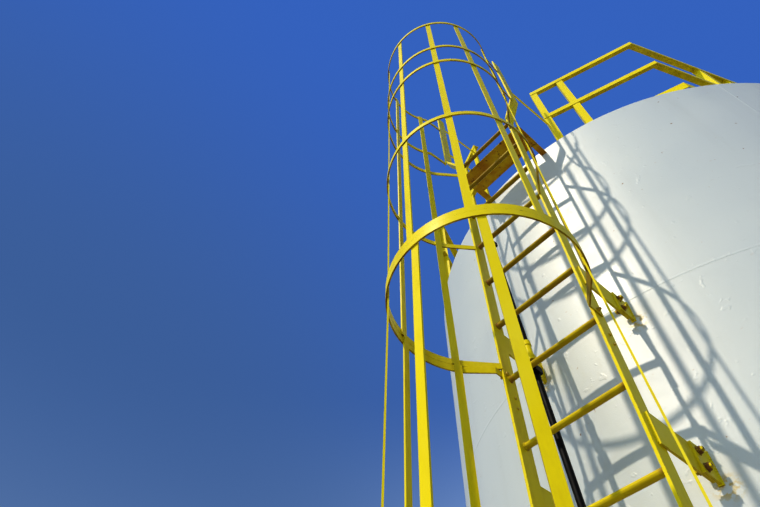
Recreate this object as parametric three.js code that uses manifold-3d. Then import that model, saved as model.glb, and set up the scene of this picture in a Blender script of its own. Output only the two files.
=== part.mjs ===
// Vertical storage tank of welded steel plate with a caged climbing ladder and a roof guardrail.
// Millimetres, +Z up. The origin is the centre of the tank floor at ground level, and the ladder
// stands on the -Y side. Azimuth 0 is straight out towards the ladder (-Y), and +90 is +X.

import * as THREE from 'three';
import { mergeVertices } from 'three/addons/utils/BufferGeometryUtils.js';
import Module from 'manifold-3d';

const wasm = await Module();
wasm.setup();

// Driving dimensions of the tank
const tankRadius = 1634;
const wallThickness = 6;
const rimHeight = 5087;
const seamHeights = [1799, 3598];
const seamAzimuths = [163.5, 103.5, 43.5];
const floorLip = 35;
const floorThickness = 8;
const roofThickness = 6;
const roofRise = 140;
const roofEdgeDrop = 4;
const seat = 0.3;
const platesFacets = 96;
const wheelFacets = 48;
const cutDepth = 400;

// Driving dimensions of the ladder
const ladderDistance = 1907;
const ladderShift = -24;
const clearWidth = 406;
const rungPitch = 300;
const rungCount = 17;
const rungDiameter = 25;
const rodFacets = 12;
const stileDepth = 64;
const stileThickness = 10;
const ladderSplice = 3240;
const stileTop = 5115;
const extensionOffset = 286;
const extensionStart = 5300;
const extensionTop = 6100;
const extensionFoot = 60;
const sideRodHeights = { left: [5500, 5940], right: [5500] };
const sideRodDiameter = 12;
const sideRodWeld = 10;

// Driving dimensions of the cage
const cageCentreForward = 336;
const cageRadius = 350;
const barThickness = 6;
const barWidth = 30;
const bottomHoopRadius = 365;
const strapInset = barThickness + 1;
const lowerStrapEase = 0.6;
const lowerStraps = { far_left: [-118, -118], left: [-77, -77], front_left: [-40.5, -40.5], front: [0.5, 0.5],
  front_right: [42, 40], right: [108, 108] };
const upperStraps = { far_left: [-117, -112], left: [-75, -75], front_left: [-40.5, -40.5], front: [-3, -3],
  front_right: [35, 35], right: [75, 67], far_right: [118, 112] };
const cageBottom = 2270;
const jointHoopLower = 3304;
const jointHoopUpper = 3336;
const upperHoops = { shoulder: 4153, rim: 4956 };
const walkThroughHoops = { rail: 5248, top: 5838 };

// Driving dimensions of the roof guardrail, an angle-iron rail in straight sides
const railHeight = 1032;
const midRailHeight = 553;
const railLeg = 45;
const railThickness = 5;
const postLeg = 45;
const postThickness = 5;
const toeBoardHeight = 77;
const toeBoardTop = 102;
const mainGuard = {
  corners: [[10.5, 1566], [38.4, 1634], [97.5, 1634], [152.5, 1634], [207.5, 1634], [262.5, 1634],
    [321.6, 1634]],
  panels: ['entry_right', 'right', 'back_right', 'back', 'back_left', 'left'],
  posts: [[0, 0.26], [0.353, 0.51, 0.82], [0.15, 0.5, 0.85], [0.15, 0.5, 0.85], [0.15, 0.5, 0.85],
    [0.18, 0.49, 0.647, 0.965]],
};
const entryGuard = {
  corners: [[341.3, 1559], [349.4, 1584]],
  panels: ['entry_left'],
  posts: [[0.02, 0.8]],
};

// Landing between ladder and rim, and the brackets that hold the ladder off the wall
const landingHeight = 5060;
const landingHalfWidth = 236;
const landingDepth = 162;
const landingThickness = 8;
const landingBar = { width: 64, thickness: 10 };
const landingArm = { width: 36, lap: 90 };
const bracketHeights = [620, 2826, 3536];
const bracketWidth = 110;
const bracketThickness = 8;
const clipLength = 122;
const clipWidth = 106;
const clipWeld = 45;
const clipLap = 60;
const clipBolts = { radius: 9, length: 52, fromFront: 26, rises: [-28, 28] };

const group = new THREE.Group();
group.name = 'vertical_storage_tank';

const finishes = {
  shell: new THREE.MeshStandardMaterial({ color: 0xd3d9d6, roughness: 0.45, metalness: 0.1 }),
  yellow: new THREE.MeshStandardMaterial({ color: 0xe3c51c, roughness: 0.5, metalness: 0.1 }),
  black: new THREE.MeshStandardMaterial({ color: 0x17181a, roughness: 0.6, metalness: 0.0 }),
};

function radians(degrees) {
  return degrees * Math.PI / 180;
}

// A point at an azimuth and radius about the tank axis
function around(azimuth, radius) {
  const angle = radians(azimuth);
  return new THREE.Vector2(radius * Math.sin(angle), -radius * Math.cos(angle));
}

function add(name, geometry, finish) {
  const mesh = new THREE.Mesh(geometry, finishes[finish]);
  mesh.name = name;
  group.add(mesh);
  return mesh;
}

// The ladder and all that it carries are drawn about its own centre line, beside the tank's centre
function addByLadder(name, geometry, finish) {
  return add(name, geometry.translate(ladderShift, 0, 0), finish);
}

// Solid booleans
function solidOf(geometry) {
  const bare = geometry.index ? geometry.toNonIndexed() : geometry.clone();
  for (const name of Object.keys(bare.attributes)) {
    if (name !== 'position') bare.deleteAttribute(name);
  }
  const merged = mergeVertices(bare, 1e-4);
  return new wasm.Manifold(new wasm.Mesh({
    numProp: 3,
    vertProperties: new Float32Array(merged.attributes.position.array),
    triVerts: new Uint32Array(merged.index.array),
  }));
}

function geometryOf(solid) {
  const mesh = solid.getMesh();
  const geometry = new THREE.BufferGeometry();
  geometry.setAttribute('position', new THREE.BufferAttribute(new Float32Array(mesh.vertProperties), 3));
  geometry.setIndex(new THREE.BufferAttribute(new Uint32Array(mesh.triVerts), 1));
  return geometry;
}

function joined(geometries) {
  return geometries.map(solidOf).reduce((whole, piece) => whole.add(piece));
}

// An outline of plan points, raised from one height to another
function raised(points, bottom, top) {
  const shape = new THREE.Shape(points);
  const geometry = new THREE.ExtrudeGeometry(shape, { depth: top - bottom, bevelEnabled: false });
  return geometry.translate(0, 0, bottom);
}

// A box between two corners
function block(low, high) {
  const geometry = new THREE.BoxGeometry(high[0] - low[0], high[1] - low[1], high[2] - low[2]);
  return geometry.translate((low[0] + high[0]) / 2, (low[1] + high[1]) / 2, (low[2] + high[2]) / 2);
}

// Shell: three courses of two rolled plates each
function ringSector(outer, thickness, from, to, bottom, top, facets) {
  const bearings = Array.from({ length: facets + 1 }, (_, i) => from + (to - from) * i / facets);
  const outside = bearings.map((bearing) => around(bearing, outer));
  const inside = bearings.map((bearing) => around(bearing, outer - thickness));
  return raised([...outside, ...inside.reverse()], bottom, top);
}

const manway = {
  azimuth: 125, height: 900, bore: 610, neck: 150, flange: 760, flangeThickness: 14, facets: 48,
};
const manwayCover = 16;
const outlet = {
  azimuth: 205, height: 300, bore: 102, neck: 150, flange: 229, flangeThickness: 24, facets: 32,
};
const outletBlind = 20;
const neckWall = 8;
const neckInside = 30;

// A shape turned about a horizontal axis that points outwards at an azimuth
function radial(profile, port) {
  const geometry = new THREE.LatheGeometry(profile.map(([r, d]) => new THREE.Vector2(r, d)), port.facets);
  const angle = radians(port.azimuth);
  const outward = new THREE.Vector3(Math.sin(angle), -Math.cos(angle), 0);
  const up = new THREE.Vector3(0, 0, 1);
  const side = new THREE.Vector3().crossVectors(outward, up);
  return geometry.applyMatrix4(new THREE.Matrix4().makeBasis(side, outward, up)).translate(0, 0, port.height);
}

function portNeckRadius(port) {
  return port.bore / 2 + neckWall;
}

function shellPlates() {
  const bottoms = [floorThickness + seat, ...seamHeights];
  const tops = [...seamHeights.map((height) => height - seat), rimHeight];
  const names = ['lower', 'middle', 'upper'];
  const halfGap = seat / 2 / tankRadius * 180 / Math.PI;
  const cuts = [manway, outlet].map((port) => solidOf(radial([
    [0, tankRadius - cutDepth / 2], [portNeckRadius(port) + seat, tankRadius - cutDepth / 2],
    [portNeckRadius(port) + seat, tankRadius + cutDepth / 2], [0, tankRadius + cutDepth / 2]], port)));
  names.forEach((name, course) => {
    ['left', 'right'].forEach((side, half) => {
      const from = seamAzimuths[course] + 180 * (1 - half);
      const plate = ringSector(tankRadius, wallThickness, from + halfGap, from + 180 - halfGap,
        bottoms[course], tops[course], platesFacets);
      let geometry = plate;
      if (course === 0) {
        let solid = solidOf(plate);
        for (const cut of cuts) solid = solid.subtract(cut);
        geometry = geometryOf(solid);
      }
      add(`shell_${name}_plate_${side}`, geometry, 'shell');
    });
  });
}

function floorPlate() {
  const edge = tankRadius + floorLip;
  const outline = Array.from({ length: platesFacets }, (_, i) => around(i * 360 / platesFacets, edge));
  add('floor_plate', raised(outline, 0, floorThickness), 'shell');
}

// A radius and height outline turned about the tank axis
function turned(points, facets) {
  const outline = points.map(([r, z]) => new THREE.Vector2(r, z));
  return new THREE.LatheGeometry(outline, facets).rotateX(Math.PI / 2);
}

// Roof: a shallow cone that ends inside the rim
const roofRadius = tankRadius - wallThickness - 2 * seat;
const roofEdge = rimHeight - roofEdgeDrop;

function roofHeightAt(radius) {
  return roofEdge + roofRise * (1 - radius / roofRadius);
}

function coneSolid(bottom, lift, radius = roofRadius) {
  const points = [[0, bottom], [radius, bottom], [radius, roofHeightAt(radius) + lift],
    [0, roofHeightAt(0) + lift]];
  return turned(points, platesFacets);
}

// Everything below the roof surface and below the top edge of the shell, with a hair of clearance
function deckSolid() {
  const inside = tankRadius - wallThickness - seat;
  const outside = tankRadius + 10 * floorLip;
  const bottom = rimHeight - cutDepth;
  const ring = [[inside, bottom], [outside, bottom], [outside, rimHeight + seat],
    [inside, rimHeight + seat], [inside, bottom]];
  const cone = solidOf(coneSolid(bottom, seat, inside + wallThickness / 2));
  return cone.add(solidOf(turned(ring, 2 * platesFacets)));
}

const hatch = {
  azimuth: 20, distance: 985, diameter: 620, height: 110, wall: 6, overlap: 40, lip: 55, ledge: 20,
};
const roofSkirt = 60;

// An upright round cutter through the roof
function roofBore(radius, place) {
  const bore = new THREE.CylinderGeometry(radius, radius, 2 * cutDepth, wheelFacets);
  return solidOf(bore.rotateX(Math.PI / 2).translate(place.x, place.y, roofEdge));
}

function roof() {
  const outer = solidOf(coneSolid(roofEdge - roofSkirt, 0));
  const inner = solidOf(coneSolid(roofEdge - cutDepth, -roofThickness));
  const hatchHole = roofBore(hatch.diameter / 2 - hatch.ledge, around(hatch.azimuth, hatch.distance));
  const ventHole = roofBore(vent.radius + seat, around(0, 0));
  add('roof_plate', geometryOf(outer.subtract(inner).subtract(hatchHole).subtract(ventHole)), 'shell');
}

function roofHatch() {
  const place = around(hatch.azimuth, hatch.distance);
  const top = roofHeightAt(hatch.distance) + hatch.height;
  const radius = hatch.diameter / 2;
  const rim = radius + hatch.overlap;
  const inner = radius - hatch.wall;
  const profile = [[inner, -cutDepth], [radius, -cutDepth], [radius, -hatch.lip], [rim, -hatch.lip],
    [rim, 0], [0, 0], [0, -hatch.wall], [inner, -hatch.wall], [inner, -cutDepth]];
  const lid = turned(profile, wheelFacets).translate(place.x, place.y, top);
  const below = solidOf(coneSolid(roofEdge - 2 * cutDepth, seat));
  add('roof_hatch', geometryOf(solidOf(lid).subtract(below)), 'shell');
}

// Vent: a pipe that rises from the roof and turns over to face down
const vent = { radius: 57, wall: 6, rise: 300, bend: 130, tail: 40, below: 40, steps: 40, bendPoints: 12 };

function ventPath(bottom) {
  const top = roofHeightAt(0) + vent.rise;
  const points = [];
  for (let i = 0; i <= 4; i += 1) points.push(new THREE.Vector3(0, 0, bottom + (top - bottom) * i / 5));
  for (let i = 0; i <= vent.bendPoints; i += 1) {
    const angle = Math.PI * i / vent.bendPoints;
    points.push(new THREE.Vector3(vent.bend * (Math.cos(angle) - 1), 0, top + vent.bend * Math.sin(angle)));
  }
  points.push(new THREE.Vector3(-2 * vent.bend, 0, top - vent.tail));
  return new THREE.CatmullRomCurve3(points, false, 'centripetal');
}

function roofVent() {
  const section = new THREE.Shape();
  section.absarc(0, 0, vent.radius, 0, Math.PI * 2);
  const bore = new THREE.Path();
  bore.absarc(0, 0, vent.radius - vent.wall, 0, Math.PI * 2);
  section.holes.push(bore);
  const pipe = new THREE.ExtrudeGeometry(section, {
    extrudePath: ventPath(roofHeightAt(0) - vent.below), steps: vent.steps, curveSegments: 12 });
  add('roof_vent', pipe, 'shell');
}

// Ports on the unseen side
function ports() {
  const wall = tankRadius - wallThickness;
  const face = tankRadius + manway.neck;
  const neck = portNeckRadius(manway);
  const rim = manway.flange / 2;
  const inner = wall - neckInside;
  add('shell_manway', radial([[neck - neckWall, inner], [neck, inner], [neck, face - manway.flangeThickness],
    [rim, face - manway.flangeThickness], [rim, face], [neck - neckWall, face],
    [neck - neckWall, inner]], manway), 'shell');
  const near = face + seat;
  const far = near + manwayCover;
  add('manway_cover', radial([[0, near], [rim, near], [rim, far], [0, far]], manway), 'shell');
  const outletFace = tankRadius + outlet.neck;
  const blindFace = outletFace + outletBlind;
  const outletBack = outletFace - outlet.flangeThickness;
  const outletRim = outlet.flange / 2;
  const pipe = portNeckRadius(outlet);
  add('outlet_nozzle', radial([[pipe - neckWall, inner], [pipe, inner], [pipe, outletBack],
    [outletRim, outletBack], [outletRim, blindFace], [0, blindFace], [0, outletFace],
    [pipe - neckWall, outletFace], [pipe - neckWall, inner]], outlet), 'shell');
}

// Ladder: flat-bar stiles with round rungs welded between them
function stileBar(side, bottom, top) {
  const inner = clearWidth / 2;
  const low = [inner, -ladderDistance - stileDepth / 2, bottom];
  const high = [inner + stileThickness, -ladderDistance + stileDepth / 2, top];
  if (side > 0) return block(low, high);
  return block([-high[0], low[1], low[2]], [-low[0], high[1], high[2]]);
}

function rung(height) {
  const length = clearWidth + stileThickness;
  const bar = new THREE.CylinderGeometry(rungDiameter / 2, rungDiameter / 2, length, rodFacets);
  return bar.rotateZ(Math.PI / 2).translate(0, -ladderDistance, height);
}

// The extension above the landing: a jog outwards, then a straight grab bar
function extensionBar(side) {
  const inner = clearWidth / 2;
  const t = stileThickness;
  const foot = stileTop - extensionFoot;
  const points = [[inner, foot], [inner + t, foot], [inner + t, stileTop],
    [extensionOffset + t, extensionStart], [extensionOffset + t, extensionTop],
    [extensionOffset, extensionTop], [extensionOffset, extensionStart + t], [inner, stileTop + t]];
  const shape = new THREE.Shape(points.map(([x, z]) => new THREE.Vector2(side * x, z)));
  const geometry = new THREE.ExtrudeGeometry(shape, { depth: stileDepth, bevelEnabled: false });
  return geometry.rotateX(Math.PI / 2).translate(0, -ladderDistance + stileDepth / 2, 0);
}

// A horizontal rod from the back of the grab bar to the first post of the guardrail
function sideRod(side, height, face) {
  const barX = side * (extensionOffset + stileThickness / 2);
  const start = new THREE.Vector2(barX, -ladderDistance + stileDepth / 2 - sideRodWeld);
  const end = new THREE.Vector2(face.x - ladderShift, face.y - seat);
  const along = end.clone().sub(start);
  const radius = sideRodDiameter / 2;
  const rod = new THREE.CylinderGeometry(radius, radius, along.length(), rodFacets);
  rod.rotateZ(along.angle() - Math.PI / 2);
  return rod.translate((start.x + end.x) / 2, (start.y + end.y) / 2, height);
}

function ladder() {
  const heights = Array.from({ length: rungCount }, (_, i) => (i + 1) * rungPitch);
  const lower = [stileBar(-1, 0, ladderSplice - seat), stileBar(1, 0, ladderSplice - seat)];
  const upper = [stileBar(-1, ladderSplice, stileTop), stileBar(1, ladderSplice, stileTop),
    extensionBar(-1), extensionBar(1)];
  const leftPost = postFace(entryGuard, 0, 1, postLeg);
  const rightPost = postFace(mainGuard, 0, 0, 0);
  for (const height of sideRodHeights.left) upper.push(sideRod(-1, height, leftPost));
  for (const height of sideRodHeights.right) upper.push(sideRod(1, height, rightPost));
  for (const height of heights) (height < ladderSplice ? lower : upper).push(rung(height));
  addByLadder('ladder_lower_section', geometryOf(joined(lower)), 'yellow');
  addByLadder('ladder_upper_section', geometryOf(joined(upper)), 'yellow');
}

// Cage hoops: a flat bar rolled to an arc, with straight ends that reach the stiles
function offsetBand(path, thickness) {
  const outer = path;
  const inner = path.map((point, i) => {
    const before = path[Math.max(i - 1, 0)];
    const after = path[Math.min(i + 1, path.length - 1)];
    const along = new THREE.Vector2().subVectors(after, before).normalize();
    return new THREE.Vector2(point.x - along.y * thickness, point.y + along.x * thickness);
  });
  return [...outer, ...inner.reverse()];
}

function cagePoint(azimuth, radius) {
  const point = around(azimuth, radius);
  point.y -= ladderDistance + cageCentreForward;
  return point;
}

function hoopPath(reach, tail, radius) {
  const steps = 48;
  const arc = [];
  for (let i = 0; i <= steps; i += 1) arc.push(cagePoint(-reach + 2 * reach * i / steps, radius));
  const left = tail.map(([x, forward]) => new THREE.Vector2(-x, -ladderDistance - forward));
  const right = tail.map(([x, forward]) => new THREE.Vector2(x, -ladderDistance - forward));
  return [...left.reverse(), ...arc, ...right];
}

const stileFront = stileDepth / 2;
const stileOuter = clearWidth / 2 + stileThickness;
const hoopShapes = {
  onFront: { reach: 128, tail: [[stileOuter - 2, stileFront + seat]] },
  onSide: { reach: 122, tail: [[stileOuter + seat + barThickness, stileFront + 28],
    [stileOuter + seat + barThickness, -10]] },
  onExtension: { reach: 120, tail: [[extensionOffset + 8, stileFront + 20],
    [extensionOffset + 8, stileFront + seat]] },
};

function hoop(name, bottom, kind, radius = cageRadius) {
  const { reach, tail } = hoopShapes[kind];
  const band = offsetBand(hoopPath(reach, tail, radius), barThickness);
  addByLadder(name, raised(band, bottom, bottom + barWidth), 'yellow');
}

// A straight strap between a foot and a head at their own azimuths and radii, square to the cage at both
function strap(name, foot, head) {
  const height = head.height - foot.height;
  const bar = new THREE.BoxGeometry(barWidth, barThickness, height);
  const corners = bar.attributes.position;
  for (let i = 0; i < corners.count; i += 1) {
    const end = corners.getZ(i) < 0 ? foot : head;
    const angle = radians(end.azimuth);
    const face = cagePoint(end.azimuth, end.radius);
    const across = corners.getX(i);
    const inward = corners.getY(i) + barThickness / 2;
    corners.setXYZ(i, face.x + across * Math.cos(angle) - inward * Math.sin(angle),
      face.y + across * Math.sin(angle) + inward * Math.cos(angle), end.height);
  }
  addByLadder(name, bar, 'yellow');
}

function cage() {
  hoop('cage_hoop_bottom', cageBottom, 'onSide', bottomHoopRadius);
  hoop('cage_hoop_joint_lower', jointHoopLower, 'onSide');
  hoop('cage_hoop_joint_upper', jointHoopUpper, 'onFront');
  for (const [name, height] of Object.entries(upperHoops)) hoop(`cage_hoop_${name}`, height, 'onFront');
  for (const [name, height] of Object.entries(walkThroughHoops)) {
    hoop(`cage_hoop_${name}`, height, 'onExtension');
  }
  const joint = jointHoopUpper - 1;
  for (const [name, [foot, head]] of Object.entries(lowerStraps)) {
    strap(`cage_strap_lower_${name}`, { azimuth: foot, radius: bottomHoopRadius - strapInset, height: cageBottom },
      { azimuth: head, radius: cageRadius - strapInset - lowerStrapEase, height: joint - seat });
  }
  const top = walkThroughHoops.top + barWidth;
  for (const [name, [foot, head]] of Object.entries(upperStraps)) {
    strap(`cage_strap_upper_${name}`, { azimuth: foot, radius: cageRadius - strapInset, height: joint },
      { azimuth: head, radius: cageRadius - strapInset, height: top });
  }
}

// The space that the tank fills as the ladder sees it, with a hair of clearance
function tankSolid() {
  const wall = tankRadius + seat;
  const outline = [[0, 0], [wall, 0], [wall, rimHeight], [0, rimHeight]];
  return solidOf(turned(outline, 4 * platesFacets).translate(-ladderShift, 0, 0));
}

// Standoff brackets: a flat bar on the outer face of the stile, bolted to a clip welded to the wall
function standoffs() {
  const tank = tankSolid();
  bracketHeights.forEach((height, level) => {
    for (const [side, sign] of [['left', -1], ['right', 1]]) {
      const near = stileOuter + seat;
      const far = near + bracketThickness;
      const back = -tankRadius + clipWeld;
      const barBack = back - clipLap;
      const bar = block([near, -ladderDistance - 5, height - bracketWidth / 2],
        [far, barBack, height + bracketWidth / 2]);
      const clip = block([far - 1, back - clipLength, height - clipWidth / 2],
        [far + bracketThickness, back, height + clipWidth / 2]);
      const boltY = back - clipLength + clipBolts.fromFront;
      const bolts = clipBolts.rises.map((rise) => {
        const bolt = new THREE.CylinderGeometry(clipBolts.radius, clipBolts.radius, clipBolts.length, 6);
        return bolt.rotateZ(Math.PI / 2).translate(far, boltY, height + rise);
      });
      let solid = joined([bar, clip, ...bolts]).subtract(tank);
      if (sign < 0) solid = solid.mirror([1, 0, 0]);
      addByLadder(`standoff_${side}_${level + 1}`, geometryOf(solid), 'yellow');
    }
  });
}

// Landing: a step plate behind the stiles, on a cross bar with two arms that reach the wall
function landing() {
  const front = -ladderDistance + stileFront + seat;
  const back = front + landingDepth;
  const under = landingHeight - landingThickness;
  const low = under - landingBar.thickness;
  const pieces = [
    block([-landingHalfWidth, front, under], [landingHalfWidth, back, landingHeight]),
    block([-landingHalfWidth, back - landingBar.width, low], [landingHalfWidth, back, under + 1]),
  ];
  for (const left of [-landingHalfWidth, landingHalfWidth - landingArm.width]) {
    pieces.push(block([left, back - landingBar.width, low],
      [left + landingArm.width, -tankRadius + landingArm.lap, under]));
  }
  addByLadder('landing_plate', geometryOf(joined(pieces).subtract(tankSolid())), 'yellow');
}

// Guardrail: one welded panel per straight side, mitred at the corners
function lineCut(a, b, c, d) {
  const r = new THREE.Vector2().subVectors(b, a);
  const s = new THREE.Vector2().subVectors(d, c);
  const t = ((c.x - a.x) * s.y - (c.y - a.y) * s.x) / (r.x * s.y - r.y * s.x);
  return new THREE.Vector2(a.x + r.x * t, a.y + r.y * t);
}

// The four outer and inner plan points of a straight strip, cut at the corners' mitre lines
function sideStrip(corners, side, from, to) {
  const offsetLine = (index, inset) => {
    const a = corners[index];
    const b = corners[index + 1];
    const { along, inward } = sideDirections(corners, index);
    const shifted = [a, b].map((point) => point.clone().addScaledVector(inward, inset));
    return { a: shifted[0], b: shifted[1], along };
  };
  const ends = [from, to].map((inset) => {
    const line = offsetLine(side, inset);
    let { a, b } = line;
    if (side > 0) {
      const previous = offsetLine(side - 1, inset);
      a = lineCut(line.a, line.b, previous.a, previous.b);
    }
    if (side < corners.length - 2) {
      const next = offsetLine(side + 1, inset);
      b = lineCut(line.a, line.b, next.a, next.b);
    }
    return [a.clone().addScaledVector(line.along, seat), b.clone().addScaledVector(line.along, -seat)];
  });
  return [ends[0][0], ends[0][1], ends[1][1], ends[1][0]];
}

// Plan directions of one straight side: along it and inwards from it
function sideDirections(corners, side) {
  const along = new THREE.Vector2().subVectors(corners[side + 1], corners[side]).normalize();
  return { along, inward: new THREE.Vector2(-along.y, along.x) };
}

// A plan point on a post, given by its distances along the side and inwards from the post's outer face
function postPoint(corners, side, share, u, v) {
  const { along, inward } = sideDirections(corners, side);
  const foot = corners[side].clone().lerp(corners[side + 1], share);
  return foot.addScaledVector(along, u).addScaledVector(inward, railThickness - 1 + v);
}

function guardPoints(guard) {
  return guard.corners.map(([azimuth, radius]) => around(azimuth, radius));
}

// The plan point on the outer face of a numbered post at a distance along it
function postFace(guard, side, number, u) {
  return postPoint(guardPoints(guard), side, guard.posts[side][number], u, 0);
}

function guardPanel(corners, side, shares) {
  const topRail = rimHeight + railHeight;
  const strip = (from, to, bottom, top) => raised(sideStrip(corners, side, from, to), bottom, top);
  const pieces = [strip(0, railThickness, rimHeight + toeBoardTop - toeBoardHeight, rimHeight + toeBoardTop)];
  for (const top of [topRail, rimHeight + midRailHeight]) {
    pieces.push(strip(0, railLeg, top - railThickness, top), strip(0, railThickness, top - railLeg, top));
  }
  for (const share of shares) {
    const corner = (u, v) => postPoint(corners, side, share, u, v);
    const outline = [corner(0, 0), corner(postLeg, 0), corner(postLeg, postThickness),
      corner(postThickness, postThickness), corner(postThickness, postLeg), corner(0, postLeg)];
    pieces.push(raised(outline, rimHeight - 100, topRail - 1));
  }
  return joined(pieces);
}

function guardrail(guard) {
  const points = guardPoints(guard);
  const deck = deckSolid();
  guard.panels.forEach((name, side) => {
    const panel = guardPanel(points, side, guard.posts[side]).subtract(deck);
    add(`guardrail_${name}`, geometryOf(panel), 'yellow');
  });
}

// Conduit: a black tube clipped behind the rungs, upright to a bend and then leaning left
const conduit = { radius: 12, topX: -162, bottomX: -74, top: 4440, bend: 2450, bottom: 420, behind: 27 };
const conduitClips = {
  heights: [600, 1500, 2400, 3300, 4200], halfWidth: 20, halfHeight: 14, cover: 4,
};

function conduitRun() {
  const y = -ladderDistance + rungDiameter / 2 + conduit.behind;
  const foot = new THREE.Vector3(conduit.bottomX, y, conduit.bottom);
  const bend = new THREE.Vector3(conduit.bottomX, y, conduit.bend);
  const head = new THREE.Vector3(conduit.topX, y, conduit.top);
  const circle = new THREE.Shape();
  circle.absarc(0, 0, conduit.radius, 0, Math.PI * 2);
  const pieces = [[foot, bend], [bend, head]].map(([from, to]) => new THREE.ExtrudeGeometry(circle, {
    extrudePath: new THREE.LineCurve3(from, to), steps: 1, curveSegments: 8 }));
  const elbow = new THREE.SphereGeometry(conduit.radius, rodFacets, rodFacets);
  pieces.push(elbow.translate(bend.x, bend.y, bend.z));
  const { heights, halfWidth, halfHeight, cover } = conduitClips;
  for (const height of heights) {
    const share = Math.max(0, (height - conduit.bend) / (conduit.top - conduit.bend));
    const x = conduit.bottomX + (conduit.topX - conduit.bottomX) * share;
    const front = -ladderDistance + rungDiameter / 2 + seat;
    pieces.push(block([x - halfWidth, front, height - halfHeight],
      [x + halfWidth, y + conduit.radius + cover, height + halfHeight]));
  }
  addByLadder('conduit', geometryOf(joined(pieces)), 'black');
}

shellPlates();
floorPlate();
roof();
roofHatch();
roofVent();
ports();
ladder();
cage();
standoffs();
landing();
guardrail(mainGuard);
guardrail(entryGuard);
conduitRun();

export default group;
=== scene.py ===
"""Looks of a welded storage tank with a caged ladder and a roof guardrail, in metres, +Z up.

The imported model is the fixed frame. This script adds what is too fine for it: weld beads, bolts,
washers and the small fittings of lids and conduit. It gives every piece a procedural finish.
"""
import math
import random

import bmesh
import bpy
from mathutils import Matrix, Vector


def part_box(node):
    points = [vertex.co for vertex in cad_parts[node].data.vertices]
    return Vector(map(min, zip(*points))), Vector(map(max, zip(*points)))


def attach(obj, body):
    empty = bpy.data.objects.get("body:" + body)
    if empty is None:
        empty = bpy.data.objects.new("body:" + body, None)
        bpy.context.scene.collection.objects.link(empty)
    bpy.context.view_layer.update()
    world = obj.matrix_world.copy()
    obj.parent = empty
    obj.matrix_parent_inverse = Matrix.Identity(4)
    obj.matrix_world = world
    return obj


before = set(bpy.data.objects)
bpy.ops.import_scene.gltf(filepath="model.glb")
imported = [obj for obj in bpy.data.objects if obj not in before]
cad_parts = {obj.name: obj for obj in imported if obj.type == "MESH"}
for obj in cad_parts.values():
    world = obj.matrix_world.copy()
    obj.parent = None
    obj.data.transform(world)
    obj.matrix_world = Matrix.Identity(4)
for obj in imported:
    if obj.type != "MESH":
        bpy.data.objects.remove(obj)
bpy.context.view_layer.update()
scene = bpy.context.scene
rng = random.Random(11)
UP = Vector((0, 0, 1))

# Driving dimensions of the tank, from the frame where it has them
TANK_RADIUS = 1.634
WALL = 0.006
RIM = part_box("shell_upper_plate_left")[1].z
FLOOR_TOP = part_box("floor_plate")[1].z
COURSE_SEAMS = [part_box(f"shell_{course}_plate_left")[1].z for course in ("lower", "middle")]
# Azimuth of one of the two upright seams of each course, from the bottom up
SEAM_AZIMUTHS = [163.5, 103.5, 43.5]
ROOF_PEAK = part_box("roof_plate")[1].z
ROOF_EDGE = RIM - 0.004
ROOF_RADIUS = TANK_RADIUS - WALL - 0.0006
ROOF_SEAM_AZIMUTHS = (65, 155, 245, 335)
HATCH = {"azimuth": 20, "distance": 0.985, "radius": 0.310, "handle": 0.17, "hinges": 0.11}
VENT_PIPE_RADIUS = 0.057
VENT_MOUTH_X = -0.260
VENT_MOUTH_DROP = 0.166
MANWAY = {"azimuth": 125, "height": 0.900, "neck": 0.313, "face": TANK_RADIUS + 0.1503,
          "bolt_circle": 0.348, "bolts": 20, "handles": 0.16}
MANWAY_FLANGE, MANWAY_COVER = 0.0143, 0.016
OUTLET = {"azimuth": 205, "height": 0.300, "neck": 0.059, "face": TANK_RADIUS + 0.150,
          "bolt_circle": 0.095, "bolts": 8}
OUTLET_FLANGE, OUTLET_COVER = 0.024, 0.020

# Driving dimensions of the ladder, its brackets and the landing
LADDER_X = (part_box("ladder_lower_section")[0].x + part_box("ladder_lower_section")[1].x) / 2
STILE_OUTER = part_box("ladder_lower_section")[1].x - LADDER_X
STILE_THICKNESS = 0.010
STILE_INNER = STILE_OUTER - STILE_THICKNESS
STILE_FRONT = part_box("ladder_lower_section")[0].y
STILE_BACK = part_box("ladder_lower_section")[1].y
LADDER_Y = (STILE_FRONT + STILE_BACK) / 2
LADDER_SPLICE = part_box("ladder_lower_section")[1].z
RUNG_RADIUS = 0.0125
RUNG_PITCH = 0.300
RUNG_COUNT = 17
SPLICE_BOLT_Y = LADDER_Y + 0.006
SPLICE_BOLT_RISES = (-0.075, -0.028, 0.075)
BRACKET_HEIGHTS = [0.620, 2.826, 3.536]
BRACKET_HALF_HEIGHT = 0.050
BRACKET_FRONT = STILE_FRONT + 0.027
BRACKET_INNER = STILE_OUTER + 0.0003
CLIP_THICKNESS = 0.009
CLIP_OUTER = BRACKET_INNER + 0.016
CLIP_BACK = -TANK_RADIUS + 0.045
CLIP_FRONT = CLIP_BACK - 0.122
CLIP_BOLT_Y = CLIP_FRONT + 0.026
CLIP_BOLT_RISES = [-0.028, 0.028]
CLIP_HALF_HEIGHT = 0.053
LANDING_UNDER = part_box("landing_plate")[0].z
LANDING_HALF_WIDTH = 0.236
LANDING_ARM = 0.036

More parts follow.
